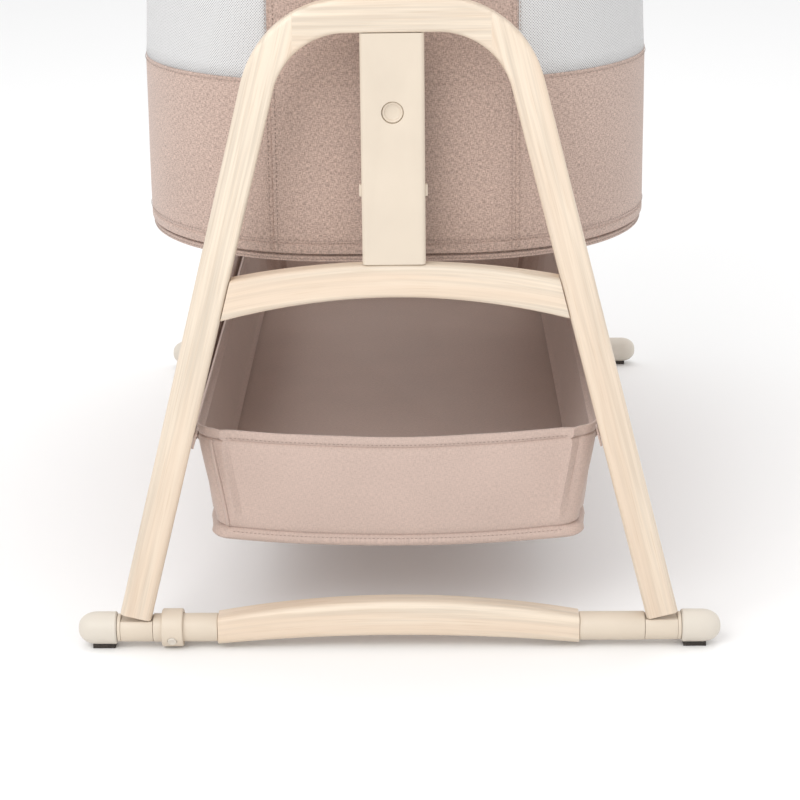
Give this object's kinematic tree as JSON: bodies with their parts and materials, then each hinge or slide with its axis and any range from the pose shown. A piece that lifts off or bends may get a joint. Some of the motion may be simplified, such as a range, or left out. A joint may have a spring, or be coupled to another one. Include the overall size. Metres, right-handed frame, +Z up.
{
  "type": "bassinet on stand",
  "caption": "Fabric bassinet with mesh windows on wooden A-shaped end frames, with foot rails that turn from standing to rocking and a storage basket below.",
  "frame": {"origin": "on the floor, in the middle of the footprint", "axes": "+Z up, Y along the bassinet's length with the front end at -Y, X across"},
  "size_m": [0.57, 0.8964, 0.749],
  "materials": {
    "pale_wood": "satin lacquered pale wood with a fine straight grain",
    "cream_plastic": "fine moulded satin",
    "cap_plastic": "fine moulded satin, a little greyer",
    "rubber": "matt dark rubber",
    "steel": "plain steel",
    "white_steel": "powder coated",
    "linen": "plain-weave melange linen, dusty rose-taupe",
    "basket_linen": "plain-weave melange linen, dusty rose-taupe",
    "white_mesh": "open knitted mesh",
    "white_cotton": "quilted cotton cover over foam",
    "fibreboard": "plain fibreboard"
  },
  "bodies": {
    "stand": {"front_arch": "pale_wood", "front_cross_bar": "pale_wood", "front_column_shell": "cream_plastic", "front_column_back": "cream_plastic", "front_left_collar": "cream_plastic", "front_right_collar": "cream_plastic", "front_left_strap": "basket_linen", "front_right_strap": "basket_linen", "rear_arch": "pale_wood", "rear_cross_bar": "pale_wood", "rear_column_shell": "cream_plastic", "rear_column_back": "cream_plastic", "rear_left_collar": "cream_plastic", "rear_right_collar": "cream_plastic", "rear_left_strap": "basket_linen", "rear_right_strap": "basket_linen", "basket": "basket_linen", "basket_board": "fibreboard", "left_side_tube": "white_steel", "right_side_tube": "white_steel"},
    "front_rail": {"front_rail_bar": "pale_wood", "front_lock_ring": "cream_plastic", "front_left_sleeve": "cream_plastic", "front_right_sleeve": "cream_plastic", "front_left_cap": "cap_plastic", "front_right_cap": "cap_plastic", "front_left_pad": "rubber", "front_right_pad": "rubber"},
    "rear_rail": {"rear_rail_bar": "pale_wood", "rear_lock_ring": "cream_plastic", "rear_left_sleeve": "cream_plastic", "rear_right_sleeve": "cream_plastic", "rear_left_cap": "cap_plastic", "rear_right_cap": "cap_plastic", "rear_left_pad": "rubber", "rear_right_pad": "rubber"},
    "front_ring_button": {"front_ring_button": "cap_plastic"},
    "rear_ring_button": {"rear_ring_button": "cap_plastic"},
    "front_height_button": {"front_height_button": "cream_plastic", "front_release_bar": "steel"},
    "rear_height_button": {"rear_height_button": "cream_plastic", "rear_release_bar": "steel"},
    "front_carriage": {"front_carriage": "white_steel"},
    "bassinet": {"bassinet_cover": "linen", "left_mesh_window": "white_mesh", "right_mesh_window": "white_mesh", "rim_cover": "linen", "top_hoop": "white_steel", "base_hoop": "white_steel", "front_end_board": "fibreboard", "rear_end_board": "fibreboard", "base_trim": "linen", "base_board": "fibreboard", "mattress": "white_cotton", "front_bracket": "white_steel", "front_pivot_pin": "steel", "rear_bracket": "white_steel", "rear_pivot_pin": "steel"},
    "rear_carriage": {"rear_carriage": "white_steel"}
  },
  "joints": [
    {"name": "front_rail_turn", "type": "hinge", "parent": "stand", "child": "front_rail", "pos_m": [0, -0.43, 0.0175], "axis": [1, 0, 0], "range_deg": [0, 180]},
    {"name": "rear_rail_turn", "type": "hinge", "parent": "stand", "child": "rear_rail", "pos_m": [0, 0.43, 0.0175], "axis": [-1, 0, 0], "range_deg": [0, 180]},
    {"name": "front_ring_button_press", "type": "slide", "parent": "front_rail", "child": "front_ring_button", "axis": [0, 0.9063, 0.4226], "range_m": [0, 0.003], "stiffness_N_per_m": 300, "springref_m": -0.003},
    {"name": "rear_ring_button_press", "type": "slide", "parent": "rear_rail", "child": "rear_ring_button", "axis": [0, -0.9063, 0.4226], "range_m": [0, 0.003], "stiffness_N_per_m": 300, "springref_m": -0.003},
    {"name": "front_height_button_press", "type": "slide", "parent": "stand", "child": "front_height_button", "axis": [0, 1, 0], "range_m": [0, 0.003], "stiffness_N_per_m": 300, "springref_m": -0.003},
    {"name": "rear_height_button_press", "type": "slide", "parent": "stand", "child": "rear_height_button", "axis": [0, -1, 0], "range_m": [0, 0.003], "stiffness_N_per_m": 300, "springref_m": -0.003},
    {"name": "bassinet_height", "type": "slide", "parent": "stand", "child": "front_carriage", "axis": [0, 0, 1], "range_m": [0, 0.075]},
    {"name": "bassinet_tilt", "type": "hinge", "parent": "front_carriage", "child": "bassinet", "pos_m": [0, -0.399, 0.378], "axis": [1, 0, 0], "range_deg": [0, 4]},
    {"name": "rear_carriage_turn", "type": "hinge", "parent": "bassinet", "child": "rear_carriage", "pos_m": [0, 0.399, 0.378], "axis": [1, 0, 0], "range_deg": [-4, 0]}
  ],
  "couplings": [
    {"joint": "rear_carriage_turn", "follows": "bassinet_tilt", "ratio": -1}
  ]
}
